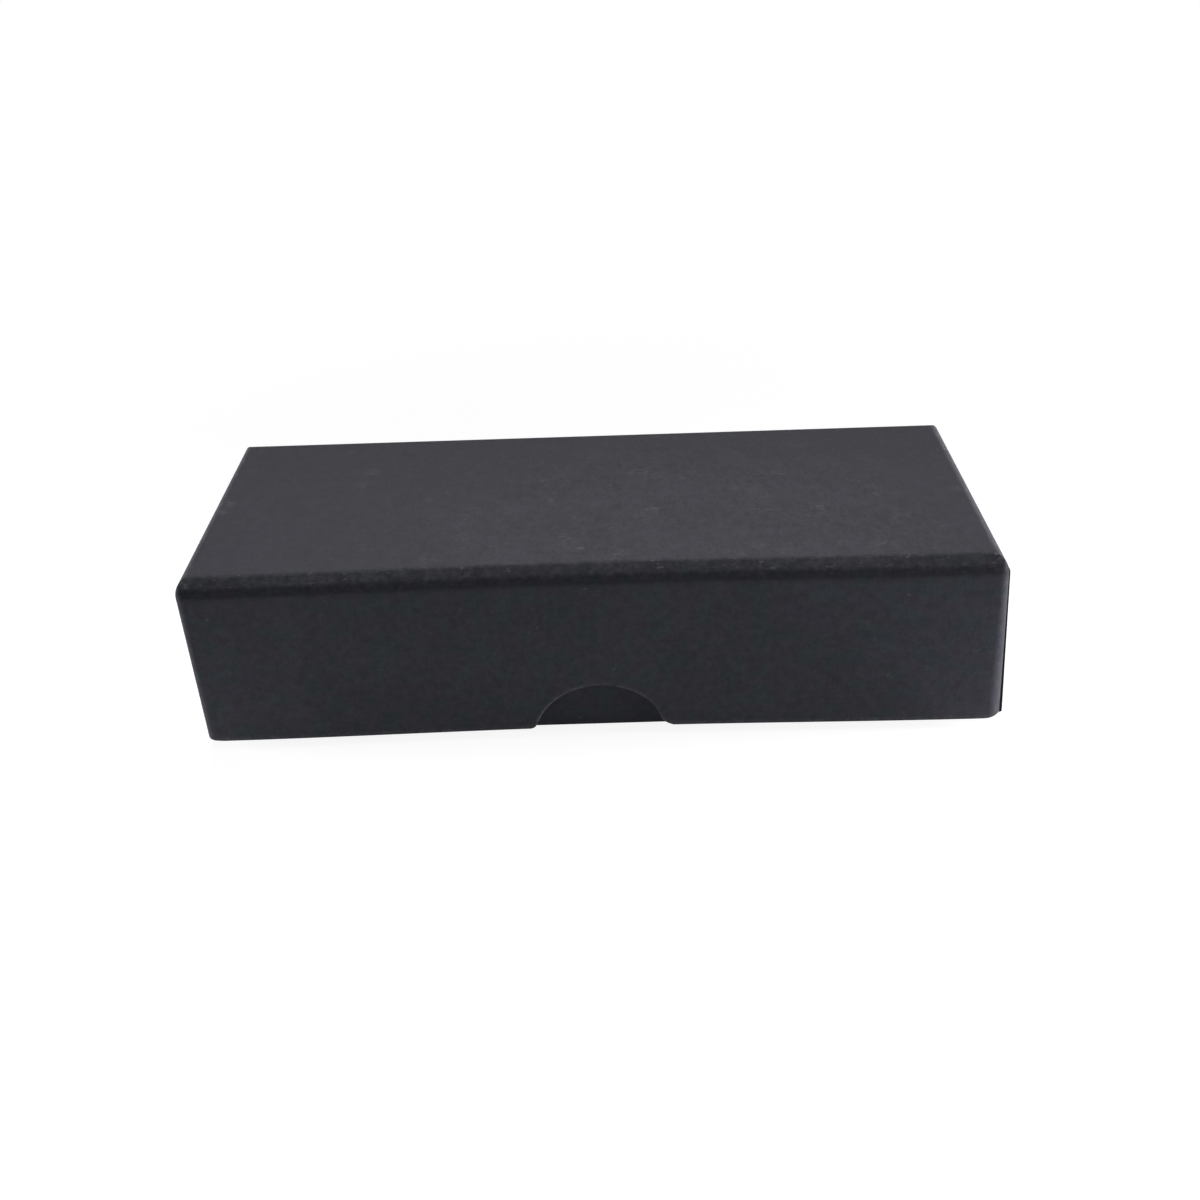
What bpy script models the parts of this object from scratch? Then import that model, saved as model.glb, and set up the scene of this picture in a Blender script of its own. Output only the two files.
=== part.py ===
"""Two-piece presentation box for a USB drive: a rigid board tray with a foam insert, and a full-depth lid
that lifts straight off. Both trays are folded from greyboard, held at the corners by gummed stays and covered
with one sheet of dark paper that turns in over the rim. The lid has a thumb notch in each long wall.

Units are metres. The origin is the centre of the underside, +X runs along the box and +Z is up."""

import math
from collections import namedtuple

import bmesh
import bpy
from mathutils import Matrix, Vector

MM = 0.001

# Closed box
LID_LENGTH = 101.6 * MM  # over the end flaps of the cover paper
LID_WIDTH = 44.45 * MM
LID_HEIGHT = 22.8 * MM
LID_RIM_LIFT = 1.2 * MM  # from the table up to the rim of the closed lid
SIDE_CLEARANCE = 1.0 * MM  # between the lid's turn-in and the long walls of the tray
END_CLEARANCE = 0.8 * MM  # the same at the end walls
SEAT_GAP = 0.2 * MM  # between the tray's rim and the lid's lining that rests on it
WALL_BOW = 0.8 * MM  # how far the lid's front wall bends inwards at mid-length
LID_LEAN = 1.0 * MM  # how much further towards +X the lid's rim lies than its panel

# Sheets
BOARD = 1.5 * MM
PAPER = 0.2 * MM
STAY_PAPER = 0.1 * MM
LINING = 0.2 * MM
GLUE = 0.05 * MM
FOLD_INNER_RADIUS = 0.2 * MM  # inside of a scored and folded board edge
CORNER_RADIUS = 1.5 * MM  # cover paper round the upright corners
RIM_RADIUS = 0.25 * MM  # cover paper where it rolls over the rim and the notch
TURN_IN = 12.0 * MM  # how far the cover paper runs down the inside of a wall

# Cover paper on the end walls, where a flap closes over the corner tabs
FLAP_REACH = 0.3 * MM  # how far the flap's cut edge reaches onto the corner's rounding
FLAP_DROP = 0.05 * MM  # the flap starts this far below the panel's face
TAB_LENGTH = 10.0 * MM  # from the long wall's face to the end of the corner tab under the flap
TAB_STEP = 1.2 * MM  # over which the flap comes down off the tab

# Thumb notch
NOTCH_RADIUS = 9.0 * MM
NOTCH_DEPTH = 6.2 * MM
NOTCH_FILLET = 1.0 * MM

# Corner stays and board joints
STAY_LEG = 11.0 * MM
STAY_MARGIN = 0.5 * MM  # from a stay's ends to the fold and to the rim
JOINT_SLIT = 0.15 * MM  # between the end of one board wall and the side of the next
SLIT_START = 0.3 * MM  # from the fold up to the slit

# Lining sheets
LINING_MARGIN = 1.2 * MM  # from the walls
LINING_CORNER = 1.0 * MM

# Foam
FOAM_CLEARANCE = 0.3 * MM
FOAM_HEADROOM = 1.4 * MM  # from the top of the foam up to the tray's rim
FOAM_PAD_SHARE = 0.33  # the pad's share of both foam layers
FOAM_CORNER = 1.0 * MM
SLOT_END_MARGIN = 12.0 * MM  # foam left at each end of the drive slot
SLOT_WIDTH_SHARE = 0.6  # of the foam's width
SLOT_CORNER = 2.0 * MM
FINGER_SHARE = 0.78  # diameter of the round finger cut across the slot, as a share of the foam's width

OVERRUN = 3.0 * MM  # how far a cutter runs past what it cuts
MERGE = 0.0005 * MM  # corners closer than this are one
FOLD_STEPS = 6  # facets in the rounding of a fold or a corner
RIM_STEPS = 3  # facets in the roll of the paper over an edge
ARC_STEPS = 24  # facets in a notch or a finger cut
BOW_STEPS = 16  # flat lengths in the bowed wall
SMOOTH_ANGLE = math.radians(35)

# What the sizes above give
OUTER_GAP = STAY_PAPER + 2 * GLUE  # between board and cover paper, filled by a stay at the corners
BOARD_INSET = PAPER + OUTER_GAP
CORE_INSET = BOARD_INSET + BOARD + GLUE  # outer face of the turn-in
WALL = CORE_INSET + PAPER
FOLD_RADIUS = FOLD_INNER_RADIUS + BOARD + BOARD_INSET  # cover paper over a folded edge of the panel
PANEL_STACK = BOARD_INSET + BOARD + GLUE + LINING  # from a panel's outer face to the top of its lining
LID_TOP = LID_RIM_LIFT + LID_HEIGHT
BASE_LENGTH = LID_LENGTH - 2 * (PAPER + WALL + END_CLEARANCE)
BASE_WIDTH = LID_WIDTH - 2 * (WALL + SIDE_CLEARANCE)
BASE_HEIGHT = LID_TOP - PANEL_STACK - SEAT_GAP
FOAM_LENGTH = BASE_LENGTH - 2 * (PAPER + WALL + FOAM_CLEARANCE)
FOAM_WIDTH = BASE_WIDTH - 2 * (WALL + FOAM_CLEARANCE)
FOAM_BOTTOM = PANEL_STACK + GLUE
FOAM_STACK = BASE_HEIGHT - FOAM_HEADROOM - FOAM_BOTTOM
FOAM_PAD = FOAM_PAD_SHARE * FOAM_STACK
FOAM_INSERT = FOAM_STACK - FOAM_PAD - GLUE
SLOT_LENGTH = FOAM_LENGTH - 2 * SLOT_END_MARGIN
SLOT_WIDTH = SLOT_WIDTH_SHARE * FOAM_WIDTH
FINGER_RADIUS = FINGER_SHARE * FOAM_WIDTH / 2

# A tray is modelled with its panel down on z = 0 and its rim up, length measured over the end flaps
Tray = namedtuple("Tray", "name length width height notched parent")

COLOURS = {
    "cover_paper": ((0.043, 0.042, 0.048), 0.72),
    "greyboard": ((0.30, 0.27, 0.23), 0.90),
    "stay_paper": ((0.42, 0.28, 0.15), 0.85),
    "lining_paper": ((0.030, 0.030, 0.033), 0.80),
    "foam": ((0.018, 0.018, 0.020), 0.95),
}


def clear_scene():
    for obj in list(bpy.data.objects):
        bpy.data.objects.remove(obj)


def new_collection(name):
    collection = bpy.data.collections.new(name)
    bpy.context.scene.collection.children.link(collection)
    return collection


def make_material(name):
    colour, roughness = COLOURS[name]
    material = bpy.data.materials.new(name)
    material.use_nodes = True
    shader = material.node_tree.nodes["Principled BSDF"]
    shader.inputs["Base Color"].default_value = (*colour, 1)
    shader.inputs["Roughness"].default_value = roughness
    shader.inputs["Metallic"].default_value = 0
    material.diffuse_color = (*colour, 1)
    return material


def new_object(name, mesh, collection):
    obj = bpy.data.objects.new(name, mesh)
    collection.objects.link(obj)
    return obj


def mesh_from(bm, name):
    mesh = bpy.data.meshes.new(name)
    bm.to_mesh(mesh)
    bm.free()
    return mesh


def add_box(bm, low, high):
    """Adds a box between two corners to a bmesh."""
    low, high = Vector(low), Vector(high)
    place = Matrix.Translation((low + high) / 2) @ Matrix.Diagonal((*(high - low), 1))
    bmesh.ops.create_cube(bm, size=1, matrix=place)


def cut_off(bm, point, normal):
    """Cuts away everything on the far side of a plane and closes the cut with one flat face."""
    geometry = [*bm.verts, *bm.edges, *bm.faces]
    cut = bmesh.ops.bisect_plane(
        bm, geom=geometry, dist=MERGE / 10, plane_co=point, plane_no=normal, clear_outer=True
    )["geom_cut"]
    rim = [e for e in cut if isinstance(e, bmesh.types.BMEdge)]
    bmesh.ops.edgeloop_fill(bm, edges=[e for e in rim if e.is_boundary])


def round_off(bm, centre, normal_a, normal_b, radius, steps):
    """Rounds the edge between two faces in flat steps. The rounding's axis goes through centre."""
    for step in range(steps):
        turn = (step + 0.5) * math.pi / 2 / steps
        normal = normal_a * math.cos(turn) + normal_b * math.sin(turn)
        cut_off(bm, centre + normal * radius * math.cos(math.pi / 4 / steps), normal)


def soft_block(bm, size, bottom, top, fold=0, corner=0, rim=0):
    """Block centred on the Z axis. The edges of its panel below have the radius fold, its upright edges the
    radius corner and its top edges the radius rim. Roundings meet in mitres, like the folds of a wrapped box."""
    half = Vector(size) / 2
    add_box(bm, (-half.x, -half.y, bottom), (half.x, half.y, top))
    along, across, up = Vector((1, 0, 0)), Vector((0, 1, 0)), Vector((0, 0, 1))
    end = half.x * along
    side = half.y * across
    edges = [(end * i + side * j, along * i, across * j, corner, FOLD_STEPS) for i in (-1, 1) for j in (-1, 1)]
    for i in (-1, 1):
        for face, normal in ((end * i, along * i), (side * i, across * i)):
            edges.append((face + up * bottom, normal, -up, fold, FOLD_STEPS))
            edges.append((face + up * top, normal, up, rim, RIM_STEPS))
    for edge, normal_a, normal_b, radius, steps in edges:
        if radius > 0:
            round_off(bm, edge - radius * (normal_a + normal_b), normal_a, normal_b, radius, steps)


def loft(bm, rings):
    """Closed solid through rings of points that all have the same number of corners."""
    loops = [[bm.verts.new(point) for point in ring] for ring in rings]
    for near, far in zip(loops, loops[1:]):
        for i, vert in enumerate(near):
            bm.faces.new((near[i - 1], vert, far[i], far[i - 1]))
    bm.faces.new(loops[0])
    bm.faces.new(loops[-1])
    bmesh.ops.recalc_face_normals(bm, faces=bm.faces)


def edge_roll(radius):
    """Section of a rolled edge, as pairs of distance from the face and widening of the opening."""
    turns = [i * math.pi / 2 / RIM_STEPS for i in range(RIM_STEPS + 1)]
    return [(radius * (1 - math.cos(turn)), radius * (1 - math.sin(turn))) for turn in turns]


def open_core(bm, size, bottom, top, roll):
    """Square-cornered core that widens over a rolled rim at the height top and runs on past it."""
    levels = [(bottom, 0)]
    levels += [(top - depth, widening) for depth, widening in reversed(edge_roll(roll))]
    levels.append((top + OVERRUN, roll))
    rings = []
    for z, grown in levels:
        x, y = size[0] / 2 + grown, size[1] / 2 + grown
        rings.append([(-x, -y, z), (x, -y, z), (x, y, z), (-x, y, z)])
    loft(bm, rings)


def arc(centre, radius, start, end, steps):
    """Points on a circle from one angle to another, both ends included."""
    turn = (end - start) / steps
    return [
        (centre[0] + radius * math.cos(start + turn * i), centre[1] + radius * math.sin(start + turn * i))
        for i in range(steps + 1)
    ]


def rounded_rectangle(length, width, radius):
    x, y = length / 2 - radius, width / 2 - radius
    points = []
    for quarter, corner in enumerate(((x, y), (-x, y), (-x, -y), (x, -y))):
        start = quarter * math.pi / 2
        points += arc(corner, radius, start, start + math.pi / 2, FOLD_STEPS)
    return points


def notch_outline(rim, grown=0):
    """Thumb notch in a wall whose rim is at height rim: an arc with a fillet on each side, opening upwards.
    It is offset into the wall by grown, so that paper and board edges run parallel round it."""
    centre = rim - NOTCH_DEPTH + NOTCH_RADIUS
    radius = NOTCH_RADIUS + grown
    fillet = NOTCH_FILLET - grown
    fillet_z = rim - NOTCH_FILLET
    reach = NOTCH_RADIUS + NOTCH_FILLET
    fillet_x = math.sqrt(reach**2 - (centre - fillet_z) ** 2)
    lean = math.atan2(centre - fillet_z, fillet_x)
    right = arc((fillet_x, fillet_z), fillet, math.pi / 2, math.pi - lean, FOLD_STEPS)
    bowl = arc((0, centre), radius, -lean, -math.pi + lean, ARC_STEPS)
    left = [(-x, z) for x, z in reversed(right)]
    top = rim + OVERRUN
    return [(fillet_x, top), *right, *bowl[1:-1], *left, (-fillet_x, top)]


def slot_outline():
    """Drive slot in the foam, with the round finger cut across its middle."""
    slot = rounded_rectangle(SLOT_LENGTH, SLOT_WIDTH, SLOT_CORNER)
    lean = math.asin(SLOT_WIDTH / 2 / FINGER_RADIUS)
    right = [p for p in slot if p[0] > 0]
    lower_right, upper_right = right[len(right) // 2 :], right[: len(right) // 2]
    upper_cut = arc((0, 0), FINGER_RADIUS, lean, math.pi - lean, ARC_STEPS)
    lower_cut = [(-x, -y) for x, y in upper_cut]
    upper_left = [(-x, y) for x, y in reversed(upper_right)]
    lower_left = [(-x, y) for x, y in reversed(lower_right)]
    return [*upper_right, *upper_cut, *upper_left, *lower_left, *lower_cut, *lower_right]


def prism(name, outlines, thickness, collection, place=None):
    """Mesh object extruded from flat outlines, the first one solid and the rest holes in it."""
    curve = bpy.data.curves.new(name, "CURVE")
    curve.dimensions = "2D"
    curve.fill_mode = "BOTH"
    curve.extrude = thickness / 2
    for points in outlines:
        spline = curve.splines.new("POLY")
        spline.points.add(len(points) - 1)
        for point, (x, y) in zip(spline.points, points):
            point.co = (x, y, 0, 1)
        spline.use_cyclic_u = True
    flat = new_object(name + "_outline", curve, collection)
    flat.matrix_world = place or Matrix.Identity(4)
    graph = bpy.context.evaluated_depsgraph_get()
    mesh = bpy.data.meshes.new_from_object(flat.evaluated_get(graph))
    bm = bmesh.new()
    bm.from_mesh(mesh)
    bmesh.ops.remove_doubles(bm, verts=bm.verts, dist=MERGE)
    bm.to_mesh(mesh)
    bm.free()
    solid = new_object(name, mesh, collection)
    solid.matrix_world = flat.matrix_world
    bpy.data.objects.remove(flat)
    return solid


def boolean(target, other, operation):
    modifier = target.modifiers.new(operation.title() + "_" + other.name, "BOOLEAN")
    modifier.operation = operation
    modifier.object = other


def as_helper(obj):
    obj.hide_render = True
    obj.display_type = "WIRE"
    return obj


def bake(obj):
    """Applies the modifiers, so that the finished surface can be shaded smooth with crisp edges."""
    graph = bpy.context.evaluated_depsgraph_get()
    mesh = bpy.data.meshes.new_from_object(obj.evaluated_get(graph))
    obj.modifiers.clear()
    bm = bmesh.new()
    bm.from_mesh(mesh)
    bmesh.ops.remove_doubles(bm, verts=bm.verts, dist=MERGE)
    bmesh.ops.dissolve_degenerate(bm, edges=bm.edges, dist=MERGE)
    bm.to_mesh(mesh)
    bm.free()
    obj.data = mesh
    mesh.shade_smooth()
    mesh.set_sharp_from_angle(angle=SMOOTH_ANGLE)


def helper_block(name, fill):
    """Hidden mesh object for a Boolean, whose shape fill adds to a bmesh."""
    bm = bmesh.new()
    fill(bm)
    return as_helper(new_object(name, mesh_from(bm, name), cutters))


def notch_bar(tray, name, grown):
    """Notch-shaped bar along Y, long enough to go through both long walls."""
    upright = Matrix.Rotation(math.pi / 2, 4, "X")
    outline = notch_outline(tray.height, grown)
    return as_helper(prism(name, [outline], tray.width + 2 * OVERRUN, cutters, upright))


def notch_with_rolled_edges(bm, tray):
    """The same bar for the finished notch, widening where it comes out of each face of the two walls."""
    outer = tray.width / 2
    inner = outer - WALL
    roll = edge_roll(RIM_RADIUS)
    half = [(0, RIM_RADIUS)]
    half += [(inner + depth, widening) for depth, widening in roll]
    half += [(outer - depth, widening) for depth, widening in reversed(roll)]
    half.append((outer + OVERRUN, RIM_RADIUS))
    sections = [(-y, grown) for y, grown in reversed(half[1:])] + half
    loft(bm, [[(x, y, z) for x, z in notch_outline(tray.height, grown)] for y, grown in sections])


def block_size(tray, inset=0):
    """Plan size of a tray without its end flaps, taken in by inset on every side."""
    return (tray.length - 2 * (PAPER + inset), tray.width - 2 * inset, 0)


def nested_block(bm, tray, inset, rim=0):
    """The tray's outer shape, taken in by inset on every side."""
    bottom, top = inset, tray.height - inset
    soft_block(bm, block_size(tray, inset), bottom, top, FOLD_RADIUS - inset, CORNER_RADIUS - inset, rim)


def dress(obj, tray, material_name):
    obj.data.materials.clear()
    obj.data.materials.append(materials[material_name])
    obj.parent = tray.parent


def solid_object(name, fill):
    """Mesh object among the parts, whose shape fill adds to a bmesh."""
    bm = bmesh.new()
    fill(bm)
    return new_object(name, mesh_from(bm, name), parts)


def bow_front_wall(obj, tray):
    """Bends the wall on the +Y side inwards, most at mid-length and not at all at the corners."""
    bm = bmesh.new()
    bm.from_mesh(obj.data)
    bm.transform(obj.matrix_basis)
    for step in range(1, BOW_STEPS):
        x = tray.length * (step / BOW_STEPS - 0.5)
        geometry = [*bm.verts, *bm.edges, *bm.faces]
        bmesh.ops.bisect_plane(bm, geom=geometry, dist=MERGE, plane_co=(x, 0, 0), plane_no=(1, 0, 0))
    for vert in bm.verts:
        if vert.co.y > 0:
            vert.co.y -= WALL_BOW * (1 + math.cos(2 * math.pi * vert.co.x / tray.length)) / 2
    bm.transform(obj.matrix_basis.inverted())
    bm.to_mesh(obj.data)
    bm.free()
    obj.data.shade_smooth()
    obj.data.set_sharp_from_angle(angle=SMOOTH_ANGLE)


def lean_ends(obj, tray):
    """Leans the end walls towards +X at the rim and away from it at the panel, as on a box glued out of true."""
    lean = Matrix.Identity(4)
    lean[0][2] = LID_LEAN / tray.height
    lean[0][3] = -LID_LEAN / 2
    obj.data.transform(obj.matrix_basis.inverted() @ lean @ obj.matrix_basis)


def make_wrap(tray):
    """Cover paper: outside skin, rim fold and turn-in in one piece, with the flaps that close the end walls."""
    name = tray.name + "_wrap"
    wrap = solid_object(name, lambda bm: nested_block(bm, tray, 0, RIM_RADIUS))
    flaps = [
        helper_block(f"{name}_end_flaps_{number}", lambda bm: end_flaps(bm, tray, side))
        for number, side in enumerate((-1, 1))
    ]
    pocket = helper_block(name + "_board_pocket", lambda bm: nested_block(bm, tray, PAPER))
    turn_in_bottom = tray.height - TURN_IN
    core_size = block_size(tray, CORE_INSET)
    core_top = tray.height + OVERRUN
    core = helper_block(
        name + "_turn_in_core", lambda bm: soft_block(bm, core_size, turn_in_bottom, core_top)
    )
    hollow_size = block_size(tray, WALL)
    hollow_bottom = turn_in_bottom - OVERRUN
    hollow = helper_block(
        name + "_hollow",
        lambda bm: open_core(bm, hollow_size, hollow_bottom, tray.height, RIM_RADIUS),
    )
    boolean(pocket, core, "DIFFERENCE")
    if tray.notched:
        boolean(pocket, notch_bar(tray, name + "_notch_sleeve", PAPER), "DIFFERENCE")
    for pair in flaps:
        boolean(wrap, pair, "UNION")
    boolean(wrap, pocket, "DIFFERENCE")
    boolean(wrap, hollow, "DIFFERENCE")
    if tray.notched:
        notch = helper_block(name + "_notch", lambda bm: notch_with_rolled_edges(bm, tray))
        boolean(wrap, notch, "DIFFERENCE")
    bake(wrap)
    dress(wrap, tray, "cover_paper")
    return wrap


def end_flaps(bm, tray, side):
    """Bar along the tray whose ends are the raised part of both end flaps on one side: from the cut edge of
    the flap to where it steps down off the corner tab beneath it. It is rounded where the flap is folded."""
    top = tray.height - FLAP_DROP
    flap_edge = side * (tray.width / 2 - CORNER_RADIUS + FLAP_REACH)
    tab_end = side * (tray.width / 2 - TAB_LENGTH)
    step_end = tab_end - side * TAB_STEP
    raised, sunk = tray.length / 2, tray.length / 2 - PAPER - FLAP_DROP
    right = [(raised, flap_edge), (raised, tab_end), (sunk, step_end)]
    plan = right + [(-x, y) for x, y in reversed(right)]
    loft(bm, [[(x, y, z) for x, y in plan] for z in (FLAP_DROP, top)])
    for end in (-1, 1):
        normal_x = Vector((end, 0, 0))
        for normal_z, edge_z, radius, steps in (
            (Vector((0, 0, -1)), FLAP_DROP, FOLD_RADIUS, FOLD_STEPS),
            (Vector((0, 0, 1)), top, RIM_RADIUS, RIM_STEPS),
        ):
            centre = Vector((end * raised, 0, edge_z)) - radius * (normal_x + normal_z)
            round_off(bm, centre, normal_x, normal_z, radius, steps)


def make_board(tray):
    """Greyboard blank folded into a tray. The end walls butt between the long walls, with an open slit."""
    name = tray.name + "_board"
    rim = tray.height - BOARD_INSET
    board = solid_object(name, lambda bm: nested_block(bm, tray, BOARD_INSET))
    size = block_size(tray, BOARD_INSET)
    inner_size = block_size(tray, BOARD_INSET + BOARD)
    inner_bottom = BOARD_INSET + BOARD
    inside = helper_block(
        name + "_inside",
        lambda bm: soft_block(bm, inner_size, inner_bottom, rim + OVERRUN, FOLD_INNER_RADIUS),
    )
    slits = helper_block(name + "_joint_slits", lambda bm: joint_slits(bm, size, rim))
    boolean(board, inside, "DIFFERENCE")
    boolean(board, slits, "DIFFERENCE")
    if tray.notched:
        boolean(board, notch_bar(tray, name + "_notch", BOARD_INSET), "DIFFERENCE")
    bake(board)
    dress(board, tray, "greyboard")
    return board


def joint_slits(bm, size, rim):
    """A thin box at each corner, which frees the end of an end wall from the long wall beside it."""
    x, y = size[0] / 2, size[1] / 2 - BOARD
    for along in (-1, 1):
        for across in (-1, 1):
            inner = (along * (x - BOARD - OVERRUN), across * (y - JOINT_SLIT), FOLD_RADIUS + SLIT_START)
            outer = (along * (x + OVERRUN), across * y, rim + OVERRUN)
            low = [min(pair) for pair in zip(inner, outer)]
            high = [max(pair) for pair in zip(inner, outer)]
            add_box(bm, low, high)


def make_lining(tray):
    name = tray.name + "_lining"
    length, width, _ = block_size(tray, BOARD_INSET + BOARD + LINING_MARGIN)
    sheet = prism(name, [rounded_rectangle(length, width, LINING_CORNER)], LINING, parts)
    sheet.matrix_world = Matrix.Translation((0, 0, PANEL_STACK - LINING / 2))
    dress(sheet, tray, "lining_paper")
    return sheet


def stay_outline():
    """Plan of a gummed strip bent round an upright corner, with the corner's centre at the origin."""
    inner = CORNER_RADIUS - BOARD_INSET + GLUE
    outer = inner + STAY_PAPER
    quarter = math.pi / 2
    outside = [(outer, -STAY_LEG), *arc((0, 0), outer, 0, quarter, FOLD_STEPS), (-STAY_LEG, outer)]
    inside = [(inner, -STAY_LEG), *arc((0, 0), inner, 0, quarter, FOLD_STEPS), (-STAY_LEG, inner)]
    return outside + inside[::-1]


def make_stays(tray):
    """One gummed strip round each upright corner of the board, from the fold to the rim."""
    bottom = FOLD_RADIUS + STAY_MARGIN
    top = tray.height - BOARD_INSET - STAY_MARGIN
    length, width, _ = block_size(tray, CORNER_RADIUS)
    corners = ((1, 1), (-1, 1), (-1, -1), (1, -1))
    stays = []
    for number, (along, across) in enumerate(corners):
        stay = prism(f"{tray.name}_corner_stay_{number + 1}", [stay_outline()], top - bottom, parts)
        stay.location = (along * length / 2, across * width / 2, (bottom + top) / 2)
        stay.rotation_euler = (0, 0, number * math.pi / 2)
        dress(stay, tray, "stay_paper")
        stays.append(stay)
    return stays


def make_tray(tray):
    pieces = [make_board(tray), make_wrap(tray), *make_stays(tray)]
    lining = make_lining(tray)
    if tray.notched:
        bpy.context.view_layer.update()
        for piece in pieces:
            bow_front_wall(piece, tray)
        for piece in (*pieces, lining):
            lean_ends(piece, tray)


def make_foam(tray):
    """Solid pad on the lining, and above it the die-cut layer that holds the drive."""
    outline = rounded_rectangle(FOAM_LENGTH, FOAM_WIDTH, FOAM_CORNER)
    pad = prism("foam_pad", [outline], FOAM_PAD, parts)
    insert = prism("foam_insert", [outline, slot_outline()], FOAM_INSERT, parts)
    pad.matrix_world = Matrix.Translation((0, 0, FOAM_BOTTOM + FOAM_PAD / 2))
    insert.matrix_world = Matrix.Translation((0, 0, FOAM_BOTTOM + FOAM_STACK - FOAM_INSERT / 2))
    for layer in (pad, insert):
        dress(layer, tray, "foam")


def new_empty(name):
    empty = bpy.data.objects.new(name, None)
    empty.empty_display_size = OVERRUN
    parts.objects.link(empty)
    return empty


clear_scene()
parts = new_collection("usb_drive_box")
cutters = new_collection("cutters")
materials = {name: make_material(name) for name in COLOURS}

base_frame = new_empty("base_frame")
lid_frame = new_empty("lid_frame")
base = Tray("base", BASE_LENGTH, BASE_WIDTH, BASE_HEIGHT, False, base_frame)
lid = Tray("lid", LID_LENGTH, LID_WIDTH, LID_HEIGHT, True, lid_frame)

make_tray(base)
make_foam(base)
make_tray(lid)

# The lid is modelled rim up, so it is turned over about X and set down on the tray
lid_frame.rotation_euler = (math.pi, 0, 0)
lid_frame.location = (0, 0, LID_TOP)
bpy.context.view_layer.update()
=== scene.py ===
"""Looks for a two-piece presentation box: dark fibrous cover paper over greyboard, and foam inside.

Units are metres. The origin is the centre of the underside, +X runs along the box and +Z is up."""

import math
from collections import namedtuple

import bmesh
import bpy
from mathutils import Matrix, Vector, noise


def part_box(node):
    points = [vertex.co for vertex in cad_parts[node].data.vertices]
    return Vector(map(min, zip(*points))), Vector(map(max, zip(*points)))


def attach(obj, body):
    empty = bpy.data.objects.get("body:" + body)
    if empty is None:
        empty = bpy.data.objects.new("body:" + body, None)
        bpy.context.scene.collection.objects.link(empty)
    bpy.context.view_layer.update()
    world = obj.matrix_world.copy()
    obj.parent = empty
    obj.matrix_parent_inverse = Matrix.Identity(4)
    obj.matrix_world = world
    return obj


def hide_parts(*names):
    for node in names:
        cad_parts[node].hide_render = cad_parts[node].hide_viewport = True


MM = 0.001
LID_TOP = 24.0 * MM

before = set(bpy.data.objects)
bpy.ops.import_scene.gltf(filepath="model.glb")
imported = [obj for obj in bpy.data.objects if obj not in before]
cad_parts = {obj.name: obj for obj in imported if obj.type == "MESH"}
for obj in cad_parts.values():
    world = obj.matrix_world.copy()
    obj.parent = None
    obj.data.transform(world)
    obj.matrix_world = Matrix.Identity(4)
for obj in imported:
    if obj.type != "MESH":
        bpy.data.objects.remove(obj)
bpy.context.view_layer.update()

# Camera, from the outline of the lid in the photograph
IMAGE_PIXELS = 1200
SENSOR_WIDTH_MM = 36.0
FOCAL_PIXELS = 1503.0
CAMERA_PLACE = Vector((2.78, -181.80, 108.11)) * MM
CAMERA_FORWARD = Vector((-0.01181, 0.87580, -0.48252))
CAMERA_UP = Vector((0.03069, 0.48265, 0.87528))
CLIP_START = 10 * MM
CLIP_END = 10.0

WELD = 0.0005 * MM
SMOOTH_ANGLE = math.radians(35)


def new_mesh_object(name, bm):
    mesh = bpy.data.meshes.new(name)
    bm.to_mesh(mesh)
    bm.free()
    obj = bpy.data.objects.new(name, mesh)
    bpy.context.scene.collection.objects.link(obj)
    return obj


# Node building


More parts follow.
